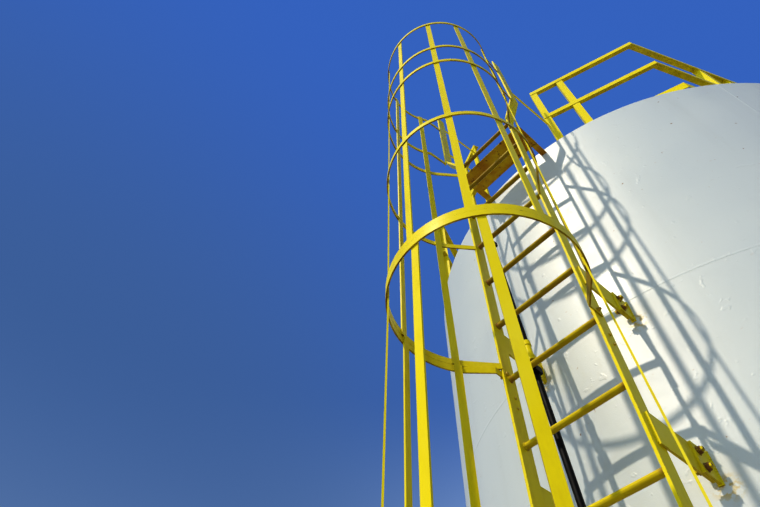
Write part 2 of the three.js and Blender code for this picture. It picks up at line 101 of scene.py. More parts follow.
# Driving dimensions of the cage. The first two hoops are fixed to the sides of the stiles.
# Each hoop sweeps 256 degrees in 48 straight sides.
CAGE_CENTRE = Vector((LADDER_X, LADDER_Y - 0.336, 0))
CAGE_RADIUS = 0.350
BAR_THICKNESS = 0.006
BAR_WIDTH = 0.030
HOOP_SWEEP, HOOP_SIDES = 256, 48
HOOP_BOLT_Y = LADDER_Y - 0.014
HOOP_TAIL_OUTER = BRACKET_INNER + BAR_THICKNESS
SIDE_HOOPS = ["cage_hoop_bottom", "cage_hoop_joint_lower"]
FRONT_HOOPS = ["cage_hoop_joint_upper", "cage_hoop_shoulder", "cage_hoop_rim"]
EXTENSION_HOOPS = ["cage_hoop_rail", "cage_hoop_top"]

# The guardrail: corners as azimuth and radius, and for each side its posts as shares of its length
GUARD_CORNERS = [(10.5, 1.566), (38.4, 1.634), (97.5, 1.634), (152.5, 1.634), (207.5, 1.634),
                 (262.5, 1.634), (321.6, 1.634)]
GUARD_POSTS = [(0, 0.26), (0.353, 0.51, 0.82), (0.15, 0.5, 0.85), (0.15, 0.5, 0.85), (0.15, 0.5, 0.85),
               (0.18, 0.49, 0.647, 0.965)]
ENTRY_CORNERS = [(341.3, 1.559), (349.4, 1.584)]
ENTRY_POSTS = [(0.02, 0.8)]
POST_LEG = 0.045
RAIL_TOPS = [RIM + 1.032, RIM + 0.553]

# Driving dimensions of the conduit behind the rungs
CONDUIT_RADIUS = 0.012
CONDUIT_ENDS = [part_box("conduit")[0].z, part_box("conduit")[1].z]
CONDUIT_BEND = 2.450
CONDUIT_BOTTOM_X, CONDUIT_TOP_X = -0.074, -0.162
CONDUIT_BEHIND = RUNG_RADIUS + 0.027
COUPLING_FOOT = 3.355

# Weld runs as width and height, with the length of a ripple where it isn't the usual one
RING_SEAM = (0.013, 0.0010, 0.006)
UPRIGHT_SEAM = (0.008, 0.0008, 0.005)
ROOF_SEAM = (0.010, 0.0020, 0.005)
FLOOR_FILLET = (0.008, 0.005, 0.006)
COLLAR_FILLET = (0.008, 0.005, 0.004)
MANWAY_FILLET = (0.009, 0.005, 0.005)
RUNG_FILLET = (0.008, 0.0035, 0.004)
ROOF_EDGE_FILLET = (0.009, 0.0028)
HATCH_FILLET = (0.009, 0.004)
NECK_FILLET = (0.010, 0.005)
CLIP_FILLET = (0.012, 0.006)
BRACKET_FILLET = (0.008, 0.004)
STRAP_FILLET = (0.0075, 0.0035)
HOOP_FILLET = (0.008, 0.0035)
RAIL_FILLET = (0.007, 0.0035)
LANDING_FILLET = (0.010, 0.005)
FILLET_LEAN = 0.8

# Bolts as thread size and length of the thread end beyond the nut, and a nut as its width and height
SPLICE_BOLT = (0.006, 0.002)
CLIP_BOLT = (0.0145, 0.005)
HOOP_BOLT = (0.010, 0.004)
MANWAY_BOLT = (0.016, 0.004)
OUTLET_BOLT = (0.015, 0.004)
OUTLET_NUT = (0.022, 0.0070)

# The photograph's viewpoint
CAMERA_PLACE = Vector((0.690, -3.3104, 1.7777))
CAMERA_AZIMUTH, CAMERA_ELEVATION, CAMERA_ROLL = (math.radians(a) for a in (-50.635, 55.710, 1.534))
CAMERA_LENS = 27.115

# Light, backdrop and tone
SUN_AZIMUTH, SUN_ELEVATION = math.radians(-5.9), math.radians(50.0)
SUN_ENERGY = 2.24
SUN_SPREAD = math.radians(0.9)
SUN_COLOUR = (1.0, 0.885, 0.72)
BACKDROP_LOW = (0.68, 0.86, 0.93, 1)
BACKDROP_HIGH = (0.020, 0.060, 0.21, 1)
BACKDROP_HIGH_FROM = 0.68
BACKDROP_SIDE = (0.025, 0.055, 0.13, 1)
BACKDROP_SIDE_RANGE = (0.20, 0.80)
BACKDROP_SIDE_SHARE = 0.92
BACKDROP_GLOW = (0.29, 0.325, 0.31, 1)
GLOW_OUTER, GLOW_INNER = math.radians(29.5), math.radians(6)
BACKDROP_STRENGTH = 1.95
VIEW_EXPOSURE = 0.46
VIEW_GAMMA = 0.86
STAGE_RADIUS = 40.0
STAGE_COLOUR = (0.36, 0.32, 0.26, 1)


def around(azimuth, radius, height=0.0):
    """A point at an azimuth in degrees about the tank axis: 0 is the ladder's side (-Y), 90 is +X."""
    angle = math.radians(azimuth)
    return Vector((radius * math.sin(angle), -radius * math.cos(angle), height))


def on_wall(x, height):
    """The point of the wall's outer face in front at a distance x from the middle."""
    return Vector((x, -math.sqrt(TANK_RADIUS ** 2 - x * x), height))


def beside_ladder(side, reach, y, height):
    """A point to the left (-1) or right (1) of the ladder's centre line."""
    return Vector((LADDER_X + side * reach, y, height))


def roof_height(radius):
    return ROOF_EDGE + (ROOF_PEAK - ROOF_EDGE) * (1 - radius / ROOF_RADIUS)


# Camera and stage

def make_camera():
    forward = Vector((math.sin(CAMERA_AZIMUTH) * math.cos(CAMERA_ELEVATION),
                      math.cos(CAMERA_AZIMUTH) * math.cos(CAMERA_ELEVATION), math.sin(CAMERA_ELEVATION)))
    level = Vector((math.cos(CAMERA_AZIMUTH), -math.sin(CAMERA_AZIMUTH), 0))
    above = level.cross(forward)
    right = math.cos(CAMERA_ROLL) * level + math.sin(CAMERA_ROLL) * above
    up = -math.sin(CAMERA_ROLL) * level + math.cos(CAMERA_ROLL) * above
    turn = Matrix((right, up, -forward)).transposed().to_4x4()
    data = bpy.data.cameras.new("camera")
    data.sensor_fit = "HORIZONTAL"
    data.sensor_width = 36.0
    data.lens = CAMERA_LENS
    data.clip_end = 500
    camera = bpy.data.objects.new("camera", data)
    camera.matrix_world = Matrix.Translation(CAMERA_PLACE) @ turn
    scene.collection.objects.link(camera)
    scene.camera = camera


def make_light():
    data = bpy.data.lights.new("key", "SUN")
    data.energy = SUN_ENERGY
    data.angle = SUN_SPREAD
    data.color = SUN_COLOUR
    key = bpy.data.objects.new("key", data)
    towards = Vector((math.sin(SUN_AZIMUTH) * math.cos(SUN_ELEVATION),
                      -math.cos(SUN_AZIMUTH) * math.cos(SUN_ELEVATION), math.sin(SUN_ELEVATION)))
    key.rotation_mode = "QUATERNION"
    key.rotation_quaternion = towards.to_track_quat("Z", "Y")
    scene.collection.objects.link(key)
    make_backdrop(towards)
    scene.view_settings.view_transform = "Standard"
    scene.view_settings.exposure = VIEW_EXPOSURE
    scene.view_settings.gamma = VIEW_GAMMA


def make_backdrop(towards_light):
    """A gradient from pale to deep blue that darkens to both sides and glows around the light."""
    world = bpy.data.worlds.new("studio")
    world.use_nodes = True
    sky = Nodes(world.node_tree)
    direction = sky.node("ShaderNodeTexCoord").outputs["Generated"]
    place = sky.node("ShaderNodeSeparateXYZ", Vector=direction)
    height = sky.band(place.outputs["Z"], 0.0, BACKDROP_HIGH_FROM)
    colour = sky.mixed(height, BACKDROP_LOW, BACKDROP_HIGH)
    sideways = sky.math("ABSOLUTE", place.outputs["X"])
    side = sky.band(sideways, *BACKDROP_SIDE_RANGE, 0, BACKDROP_SIDE_SHARE)
    colour = sky.mixed(side, colour, BACKDROP_SIDE)
    closeness = sky.vector_math("DOT_PRODUCT", direction, towards_light)
    glow = sky.band(closeness, math.cos(GLOW_OUTER), math.cos(GLOW_INNER))
    colour = sky.mixed(glow, colour, BACKDROP_GLOW)
    background = world.node_tree.nodes["Background"]
    sky.feed(background.inputs["Color"], colour)
    sky.feed(background.inputs["Strength"], BACKDROP_STRENGTH)
    scene.world = world


def make_floor():
    bm = bmesh.new()
    bmesh.ops.create_circle(bm, cap_ends=True, segments=96, radius=STAGE_RADIUS)
    mesh = bpy.data.meshes.new("floor")
    bm.to_mesh(mesh)
    bm.free()
    floor = bpy.data.objects.new("floor", mesh)
    floor.location.z = -0.001
    material = bpy.data.materials.new("floor")
    material.use_nodes = True
    shader = material.node_tree.nodes["Principled BSDF"]
    shader.inputs["Base Color"].default_value = STAGE_COLOUR
    shader.inputs["Roughness"].default_value = 0.9
    mesh.materials.append(material)
    scene.collection.objects.link(floor)


# Procedural finishes

class Nodes:
    """Short calls that add nodes to a tree and feed them."""

    def __init__(self, tree):
        self.tree = tree

    def node(self, kind, settings=None, **inputs):
        made = self.tree.nodes.new(kind)
        for key, value in (settings or {}).items():
            setattr(made, key, value)
        for key, value in inputs.items():
            self.feed(made.inputs[key.replace("_", " ")], value)
        return made

    def feed(self, socket, value):
        if isinstance(value, bpy.types.NodeSocket):
            self.tree.links.new(value, socket)
        else:
            socket.default_value = value

    def math(self, operation, a, b=0.0, clamp=False):
        made = self.node("ShaderNodeMath", {"operation": operation, "use_clamp": clamp})
        self.feed(made.inputs[0], a)
        self.feed(made.inputs[1], b)
        return made.outputs[0]

    def vector_math(self, operation, a, b):
        made = self.node("ShaderNodeVectorMath", {"operation": operation})
        self.feed(made.inputs[0], a)
        self.feed(made.inputs[1], b)
        return made.outputs["Value"]

    def band(self, value, low, high, start=0.0, end=1.0):
        """A smooth step from start to end as the value goes from low to high."""
        made = self.node("ShaderNodeMapRange", {"interpolation_type": "SMOOTHSTEP"}, Value=value,
                         From_Min=low, From_Max=high, To_Min=start, To_Max=end)
        return made.outputs[0]

    def mixed(self, factor, a, b):
        made = self.node("ShaderNodeMix", {"data_type": "RGBA"})
        self.feed(made.inputs[0], factor)
        self.feed(made.inputs[6], a)
        self.feed(made.inputs[7], b)
        return made.outputs[2]


class Finish(Nodes):
    """A material under construction: a Principled shader and short calls for the nodes that feed it."""

    def __init__(self, name):
        self.material = bpy.data.materials.new(name)
        self.material.use_nodes = True
        super().__init__(self.material.node_tree)
        self.shader = self.tree.nodes["Principled BSDF"]
        self.where = self.node("ShaderNodeTexCoord").outputs["Object"]
        self.place = self.node("ShaderNodeSeparateXYZ", Vector=self.where)
        self.geometry = self.node("ShaderNodeNewGeometry")
        self.facing = self.node("ShaderNodeSeparateXYZ", Vector=self.geometry.outputs["True Normal"])

    def stretched(self, scale):
        return self.node("ShaderNodeMapping", Vector=self.where, Scale=scale).outputs[0]

    def noise(self, scale, detail=3.0, roughness=0.55, where=None):
        made = self.node("ShaderNodeTexNoise", Vector=where or self.where, Scale=scale, Detail=detail,
                         Roughness=roughness)
        return made.outputs["Fac"]

    def edges(self, radius):
        """1 on convex and concave edges, 0 on faces."""
        bevel = self.node("ShaderNodeBevel", {"samples": 4}, Radius=radius)
        alike = self.vector_math("DOT_PRODUCT", bevel.outputs[0], self.geometry.outputs["Normal"])
        return self.band(self.math("SUBTRACT", 1.0, alike), 0.02, 0.25)

    def underside(self, low=-0.6, high=-0.1):
        """1 on faces that look down, 0 on the others."""
        return self.band(self.facing.outputs["Z"], low, high, 1, 0)

    def near(self, point, low, high):
        """1 close to a point, 0 beyond."""
        return self.band(self.vector_math("DISTANCE", self.where, point), low, high, 1, 0)

    def bump(self, height, distance, strength=1.0, below=None):
        made = self.node("ShaderNodeBump", Height=height, Distance=distance, Strength=strength)
        if below is not None:
            self.feed(made.inputs["Normal"], below)
        return made.outputs[0]

    def finish(self, colour, roughness, normal, specular):
        self.feed(self.shader.inputs["Base Color"], colour)
        self.feed(self.shader.inputs["Roughness"], roughness)
        self.feed(self.shader.inputs["Normal"], normal)
        self.feed(self.shader.inputs["Specular IOR Level"], specular)
        return self.material


RUST_DARK = (0.060, 0.026, 0.008, 1)
RUST_LIGHT = (0.26, 0.115, 0.022, 1)
# Painted shade: the dark brown that yellow paint is mixed towards on faces that look down or inward,
# standing in for the shade there.
PAINTED_SHADE_BROWN = (0.17, 0.088, 0.005, 1)


def rust_colour(f):
    return f.mixed(f.noise(38, 4), RUST_DARK, RUST_LIGHT)


def shell_paint(name, streaks=1.0, overspray=False):
    """Cool off-white paint on rolled plate, with faint runs, rust pinholes and yellow mist at clips."""
    f = Finish(name)
    tone = f.mixed(f.noise(0.9, 3), (0.53, 0.575, 0.56, 1), (0.60, 0.63, 0.60, 1))
    runs = f.band(f.noise(7, 4, where=f.stretched((1, 1, 0.06))), 0.52, 0.78, 0, 0.30 * streaks)
    tone = f.mixed(runs, tone, (0.42, 0.43, 0.395, 1))
    patches = f.band(f.noise(2.6, 5, 0.62), 0.58, 0.80, 0, 0.35)
    tone = f.mixed(patches, tone, (0.47, 0.50, 0.50, 1))
    spots = f.noise(34, 2, 0.5)
    halo = f.band(spots, 0.70, 0.79, 0, 0.35)
    tone = f.mixed(halo, tone, (0.46, 0.36, 0.25, 1))
    colour = f.mixed(f.band(spots, 0.765, 0.79), tone, rust_colour(f))
    if overspray:
        speckled = f.band(f.noise(55, 4, 0.6), 0.44, 0.58)
        for height in BRACKET_HEIGHTS:
            for side in (-1, 1):
                x = LADDER_X + side * (CLIP_OUTER + 0.006)
                foot = on_wall(x, height - CLIP_HALF_HEIGHT - 0.012)
                mist = f.math("MULTIPLY", f.near(foot, 0.012, 0.060), speckled)
                colour = f.mixed(f.math("MULTIPLY", mist, 0.85), colour, YELLOW_GRIMY)
    roughness = f.band(f.noise(3.5, 4), 0.3, 0.7, 0.43, 0.54)
    waves = f.bump(f.noise(1.1, 1, where=f.stretched((1, 1, 0.8))), 0.030, 0.35)
    peel = f.bump(f.noise(160, 2), 0.0008, 0.30, waves)
    specks = f.bump(f.band(f.noise(26, 2, 0.45), 0.66, 0.74), 0.0012, 0.5, peel)
    return f.finish(colour, roughness, specks, specular=1.0)


YELLOW = (0.81, 0.66, 0.004, 1)
YELLOW_FADED = (0.81, 0.68, 0.030, 1)
YELLOW_GRIMY = (0.50, 0.34, 0.004, 1)
YELLOW_SPECULAR = 0.07
EDGE_WEAR = 0.0035


def yellow_base(f, grime):
    tone = f.mixed(f.band(f.noise(2.3, 4), 0.40, 0.72), YELLOW, YELLOW_FADED)
    dirty = f.band(f.noise(9, 5, 0.65, where=f.stretched((1, 1, 0.35))), 0.50, 0.78, 0, grime)
    return f.mixed(dirty, tone, YELLOW_GRIMY)


def yellow_normal(f, chips):
    brushed = f.bump(f.noise(1, 3, where=f.stretched((150, 150, 16))), 0.0006, 0.20)
    dents = f.bump(f.noise(19, 3), 0.0020, 0.25, brushed)
    return f.bump(f.math("SUBTRACT", 1.0, chips), 0.0005, 0.8, dents)


def yellow_paint(name, wear=1.0, grime=0.40, underside_painted_shade=0.55, inner_painted_shade=0.0):
    """Thick brushed yellow paint, faded and grimy, with painted shade in brown on faces that look down
    (and, if asked, on inward faces at the cage's right), and chipped to rust on its edges.
    """
    f = Finish(name)
    # Painted shade: faces that look down are mixed towards dark brown, in patches.
    patchy = f.band(f.noise(17, 5, 0.62), 0.28, 0.62, 0.45 * underside_painted_shade, underside_painted_shade)
    painted_shade_below = f.math("MULTIPLY", f.underside(), patchy)
    base = f.mixed(painted_shade_below, yellow_base(f, grime), PAINTED_SHADE_BROWN)
    # Painted shade: faces that look inward at the right of the cage are mixed towards dark brown.
    if inner_painted_shade:
        inwards = f.band(f.facing.outputs["X"], -0.7, -0.2, inner_painted_shade, 0)
        by_right = f.band(f.place.outputs["X"], LADDER_X + 0.15, LADDER_X + 0.25)
        base = f.mixed(f.math("MULTIPLY", inwards, by_right), base, PAINTED_SHADE_BROWN)
    edge = f.edges(EDGE_WEAR)
    flake = f.noise(48, 5, 0.62)
    on_edge = f.math("MULTIPLY", edge, f.band(flake, 0.67 - 0.04 * wear, 0.71))
    chips = f.math("ADD", f.band(flake, 0.74 - 0.02 * wear, 0.76), on_edge, clamp=True)
    rim = f.math("MULTIPLY", f.band(flake, 0.50, 0.62), edge)
    worn = f.mixed(f.math("MULTIPLY", rim, 0.20), base, (0.50, 0.30, 0.01, 1))
    colour = f.mixed(chips, worn, rust_colour(f))
    paint = f.band(f.noise(6, 3), 0.3, 0.7, 0.30, 0.48)
    roughness = f.math("ADD", paint, f.math("MULTIPLY", chips, 0.35))
    return f.finish(colour, roughness, yellow_normal(f, chips), specular=YELLOW_SPECULAR)


def ladder_paint(name):
    """Yellow paint whose rungs turn a brown gold from scuffs and painted shade, more so higher up, with
    painted shade in dark brown under them and rust where they meet the stiles.
    """
    f = Finish(name)
    base = yellow_base(f, 0.5)
    x = f.math("ABSOLUTE", f.math("SUBTRACT", f.place.outputs["X"], LADDER_X))
    on_rung = f.band(x, STILE_INNER - 0.001, STILE_INNER, 1, 0)
    # Rungs are mixed towards brown gold in patches, more so higher up: partly scuffs, partly painted shade.
    scuff_and_shade = f.band(f.noise(14, 5, 0.6, where=f.stretched((0.4, 1, 1))), 0.30, 0.66, 0.30, 0.85)
    by_height = f.band(f.place.outputs["Z"], 2.2, 4.2, 0.35, 1.0)
    scuff_and_shade = f.math("MULTIPLY", on_rung, f.math("MULTIPLY", scuff_and_shade, by_height))
    base = f.mixed(scuff_and_shade, base, (0.30, 0.155, 0.006, 1))
    # Painted shade: the faces of the rungs that look down or sideways are darkened to dark brown, more so
    # higher up.
    shaded = f.math("MULTIPLY", f.math("MULTIPLY", f.underside(-0.7, 0.35), by_height), 0.70)
    base = f.mixed(f.math("MULTIPLY", on_rung, shaded), base, (0.14, 0.070, 0.004, 1))
    at_weld = f.math("MULTIPLY", on_rung, f.band(x, STILE_INNER - 0.032, STILE_INNER - 0.004))
    weeping = f.math("MULTIPLY", at_weld, f.band(f.noise(30, 4), 0.42, 0.60, 0, 0.8))
    base = f.mixed(weeping, base, RUST_LIGHT)
    edge = f.math("MULTIPLY", f.edges(EDGE_WEAR), f.math("SUBTRACT", 1.0, on_rung))
    flake = f.noise(44, 5, 0.62)
    on_edge = f.math("MULTIPLY", edge, f.band(flake, 0.54, 0.60))
    chips = f.math("ADD", f.band(flake, 0.70, 0.725), on_edge, clamp=True)
    colour = f.mixed(chips, base, rust_colour(f))
    paint = f.band(f.noise(6, 3), 0.3, 0.7, 0.30, 0.46)
    roughness = f.math("ADD", paint, f.math("MULTIPLY", chips, 0.35))
    return f.finish(colour, roughness, yellow_normal(f, chips), specular=YELLOW_SPECULAR)


def landing_paint(name):
    """Yellow paint worn through on top, with painted shade in brown on the faces that look down."""
    f = Finish(name)
    base = yellow_base(f, 0.7)
    # Painted shade: faces that look down are mixed towards orange brown, in patches.
    under = f.underside(-0.2, 0.2)
    patches = f.band(f.noise(7, 6, 0.65), 0.30, 0.62, 0.55, 1.0)
    painted_shade_tone = f.mixed(f.noise(22, 5, 0.6), (0.30, 0.125, 0.006, 1), (0.46, 0.21, 0.010, 1))
    base = f.mixed(f.math("MULTIPLY", under, patches), base, painted_shade_tone)
    chips = f.band(f.noise(36, 5, 0.62), 0.60, 0.65)
    colour = f.mixed(chips, base, rust_colour(f))
    paint = f.band(f.noise(6, 3), 0.3, 0.7, 0.40, 0.60)
    roughness = f.math("ADD", paint, f.math("MULTIPLY", chips, 0.25))
    return f.finish(colour, roughness, yellow_normal(f, chips), specular=YELLOW_SPECULAR)


def rusty_steel(name, painted=0.5):
    """Bolts and nuts with remains of yellow paint over brown rust."""
    f = Finish(name)
    flake = f.noise(95, 4, 0.6)
    cover = f.band(flake, 0.32 + 0.36 * painted, 0.38 + 0.36 * painted, 1, 0)
    colour = f.mixed(cover, rust_colour(f), YELLOW_GRIMY)
    roughness = f.band(cover, 0.0, 1.0, 0.85, 0.50)
    grain = f.bump(f.noise(420, 3), 0.0006, 0.6)
    return f.finish(colour, roughness, grain, specular=0.3)


def black_tube(name):
    """Black plastic conduit, dusty and scuffed."""
    f = Finish(name)
    dust = f.band(f.noise(11, 5, 0.62, where=f.stretched((1, 1, 0.3))), 0.45, 0.75, 0, 0.55)
    colour = f.mixed(dust, (0.003, 0.0032, 0.0032, 1), (0.014, 0.014, 0.012, 1))
    roughness = f.band(f.noise(24, 3), 0.3, 0.7, 0.42, 0.62)
    return f.finish(colour, roughness, f.bump(f.noise(90, 3), 0.0006, 0.4), specular=0.10)


def make_finishes():
    """One material for each kind of surface."""
    return {
        "shell": shell_paint("shell_paint", overspray=True),
        "roof": shell_paint("roof_paint", streaks=0.4),
        "yellow": yellow_paint("yellow_paint"),
        # The cage paint has more painted shade below, and painted shade on its inward faces.
        "cage": yellow_paint("cage_paint", underside_painted_shade=0.95, inner_painted_shade=0.75),
        "worn_yellow": yellow_paint("worn_yellow_paint", wear=2.0, grime=0.8),
        "ladder": ladder_paint("ladder_paint"),
        "landing": landing_paint("landing_paint"),
        "bolt": rusty_steel("rusty_bolt", painted=0.2),
        "painted_bolt": rusty_steel("painted_bolt", painted=0.9),
        "tube": black_tube("black_tube"),
    }


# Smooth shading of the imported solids, by a modifier that leaves their vertices alone

def smoothing_group():
    tree = bpy.data.node_groups.new("smooth_by_angle", "GeometryNodeTree")
    for direction in ("INPUT", "OUTPUT"):
        tree.interface.new_socket("Geometry", in_out=direction, socket_type="NodeSocketGeometry")
    start = tree.nodes.new("NodeGroupInput")
    merge = tree.nodes.new("GeometryNodeMergeByDistance")
    merge.inputs["Distance"].default_value = 0.00002
    drop = tree.nodes.new("GeometryNodeRemoveAttribute")
    drop.inputs["Name"].default_value = "custom_normal"
    faces = tree.nodes.new("GeometryNodeSetShadeSmooth")
    edges = tree.nodes.new("GeometryNodeSetShadeSmooth")
    edges.domain = "EDGE"
    edges.inputs["Shade Smooth"].default_value = False
    angle = tree.nodes.new("GeometryNodeInputMeshEdgeAngle")
    sharp = tree.nodes.new("FunctionNodeCompare")
    sharp.inputs[1].default_value = math.radians(32)
    end = tree.nodes.new("NodeGroupOutput")
    for a, b in [(start.outputs[0], merge.inputs[0]), (merge.outputs[0], drop.inputs[0]),
                 (drop.outputs[0], faces.inputs[0]), (faces.outputs[0], edges.inputs[0]),
                 (angle.outputs[0], sharp.inputs[0]), (sharp.outputs[0], edges.inputs["Selection"]),
                 (edges.outputs[0], end.inputs[0])]:
        tree.links.new(a, b)
    return tree


def dress_nodes(finishes):
    """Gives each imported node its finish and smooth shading."""
    group = smoothing_group()
    choice = [("ladder_", "ladder"), ("landing_", "landing"), ("cage_", "cage"), ("guardrail_", "yellow"),
              ("standoff_", "worn_yellow"), ("conduit", "tube"), ("roof_", "roof"), ("shell_", "shell"),
              ("manway_", "shell"), ("outlet_", "shell"), ("floor_", "roof")]
    for name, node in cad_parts.items():
        finish = next(value for prefix, value in choice if name.startswith(prefix))
        for slot in node.material_slots:
            slot.material = finishes[finish]
        modifier = node.modifiers.new("smooth_by_angle", "NODES")
        modifier.node_group = group


# Mesh parts of the added pieces

def add_piece(name, bm, finish):
    bmesh.ops.recalc_face_normals(bm, faces=bm.faces)
    mesh = bpy.data.meshes.new(name)
    bm.to_mesh(mesh)
    bm.free()
    mesh.materials.append(finish)
    mesh.shade_smooth()
    mesh.set_sharp_from_angle(angle=math.radians(35))
    piece = bpy.data.objects.new(name, mesh)
    scene.collection.objects.link(piece)
    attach(piece, "root")


def skin(bm, rings, closed=False):
    """Faces between rings of vertices. An open run is capped at both ends."""
    count = len(rings[0])
    pairs = list(zip(rings, rings[1:]))
    if closed:
        pairs.append((rings[-1], rings[0]))
    for a, b in pairs:
        for i in range(count):
            j = (i + 1) % count
            bm.faces.new((a[i], a[j], b[j], b[i]))
    if not closed:
        bm.faces.new(rings[0])
        bm.faces.new(reversed(rings[-1]))


BEAD_PROFILE = [(-0.5, -0.5), (-0.5, 0.0), (-0.3, 0.75), (0.0, 1.0), (0.3, 0.75), (0.5, 0.0), (0.5, -0.5)]


def bead(bm, points, normals, width, height, closed=False):
    """A run of weld over surface points, rippled at each step."""
    rings = []
    last = len(points) - 1
    for i, (point, normal) in enumerate(zip(points, normals)):
        before = points[i - 1] if i or closed else point
        after = points[(i + 1) % len(points)] if i < last or closed else point
        along = (after - before).normalized()
        side = along.cross(normal).normalized()
        swell = (1.0 if i % 2 else 0.78) * rng.uniform(0.88, 1.12)
        across, rise = width * (0.9 + 0.1 * swell), height * swell
        rings.append([bm.verts.new(point + side * (u * across) + normal * (v * rise))
                      for u, v in BEAD_PROFILE])
    skin(bm, rings, closed)


def straight_bead(bm, start, end, normal, width, height, step=0.004):
    count = max(2, round((end - start).length / step))
    points = [start.lerp(end, i / count) for i in range(count + 1)]
    bead(bm, points, [normal] * (count + 1), width, height)


def ring_bead(bm, centre, axis, radius, width, height, step=0.004, lean=0.0):
    """A closed run around an axis. lean tips its crown along the axis, as a fillet's does."""
    axis = axis.normalized()
    u = axis.orthogonal().normalized()
    v = axis.cross(u)
    count = 2 * max(8, round(math.pi * radius / step))
    angles = [2 * math.pi * i / count for i in range(count)]
    outward = [u * math.cos(a) + v * math.sin(a) for a in angles]
    points = [centre + o * radius for o in outward]
    normals = [(o + axis * lean).normalized() for o in outward]
    bead(bm, points, normals, width, height, closed=True)


def turned(bm, centre, axis, profile, sides, turn=0.0):
    """Rings of given radius and distance along an axis, closed at both ends."""
    axis = axis.normalized()
    u = axis.orthogonal().normalized()
    v = axis.cross(u)
    angles = [turn + 2 * math.pi * i / sides for i in range(sides)]
    rays = [u * math.cos(a) + v * math.sin(a) for a in angles]
    rings = [[bm.verts.new(centre + axis * along + ray * radius) for ray in rays]
             for radius, along in profile]
    skin(bm, rings)


def hexagon(bm, centre, axis, size, height):
    """A bolt head or nut with chamfered corners."""
    corner = size / math.sqrt(3)
    turn = rng.uniform(0, math.pi / 3)
    chamfer = 0.12 * height
    profile = [(corner, 0), (corner, height - 1.6 * chamfer), (0.90 * corner, height)]
    turned(bm, centre, axis, profile, 6, turn)


def bolt_end(bm, centre, axis, size, threads):
    """A washer with a nut and thread end on it, or a washer and a head where threads is 0."""
    washer = 0.1 * size
    nut = 0.72 * size
    turned(bm, centre, axis, [(1.0 * size, 0), (1.02 * size, 0.3 * washer), (1.0 * size, washer)], 20)
    hexagon(bm, centre + axis * washer, axis, size * 1.5, nut)
    if threads:
        radius = 0.47 * size
        start = washer + nut
        tip = start + threads
        turned(bm, centre, axis, [(radius, start - 0.001), (radius, tip), (0.8 * radius, tip + 0.0015)], 14)


def fastener(bm, near, far, size, threads):
    """A bolt through a grip from near, where the head sits, to far, where the nut sits."""
    axis = (far - near).normalized()
    bolt_end(bm, near, -axis, size, 0)
    bolt_end(bm, far, axis, size, threads)


def rod(bm, points, radius, sides=12):
    """A round bar along points, with mitred corners."""
    rings = []
    for i, point in enumerate(points):
        before = (point - points[i - 1]).normalized() if i else None
        after = (points[i + 1] - point).normalized() if i < len(points) - 1 else None
        along = ((before or after) + (after or before)).normalized()
        u = along.cross(Vector((0.13, 0.29, 0.95))).normalized()
        v = along.cross(u)
        rings.append([bm.verts.new(point + (u * math.cos(2 * math.pi * k / sides)
                                            + v * math.sin(2 * math.pi * k / sides)) * radius)
                      for k in range(sides)])
    skin(bm, rings)


# Shell and roof details

def shell_welds(finishes):
    for name, height in zip(("lower", "upper"), COURSE_SEAMS):
        bm = bmesh.new()
        ring_bead(bm, UP * height, UP, TANK_RADIUS, *RING_SEAM)
        add_piece(f"shell_weld_{name}_ring", bm, finishes["shell"])
    bottoms = [FLOOR_TOP, *COURSE_SEAMS]
    tops = [*COURSE_SEAMS, RIM]
    bm = bmesh.new()
    for azimuth, bottom, top in zip(SEAM_AZIMUTHS, bottoms, tops):
        for turn in (0, 180):
            normal = around(azimuth + turn, 1)
            start, end = (normal * TANK_RADIUS + UP * z for z in (bottom + 0.002, top - 0.002))
            straight_bead(bm, start, end, normal, *UPRIGHT_SEAM)
    add_piece("shell_weld_vertical", bm, finishes["shell"])
    bm = bmesh.new()
    ring_bead(bm, UP * FLOOR_TOP, UP, TANK_RADIUS + 0.002, *FLOOR_FILLET, lean=FILLET_LEAN)
    add_piece("floor_weld", bm, finishes["roof"])


def roof_welds(finishes):
    bm = bmesh.new()
    count = 1600
    points = [around(360 * i / count, ROOF_RADIUS - 0.004, ROOF_EDGE + 0.0005) for i in range(count)]
    bead(bm, points, [UP] * count, *ROOF_EDGE_FILLET, closed=True)
    slope = math.atan2(ROOF_PEAK - ROOF_EDGE, ROOF_RADIUS)
    near, far = 0.075, ROOF_RADIUS - 0.012
    for azimuth in ROOF_SEAM_AZIMUTHS:
        outward = around(azimuth, 1)
        normal = (UP * math.cos(slope) + outward * math.sin(slope)).normalized()
        start, end = (outward * radius + UP * roof_height(radius) for radius in (near, far))
        straight_bead(bm, start, end, normal, *ROOF_SEAM)
    add_piece("roof_weld", bm, finishes["roof"])


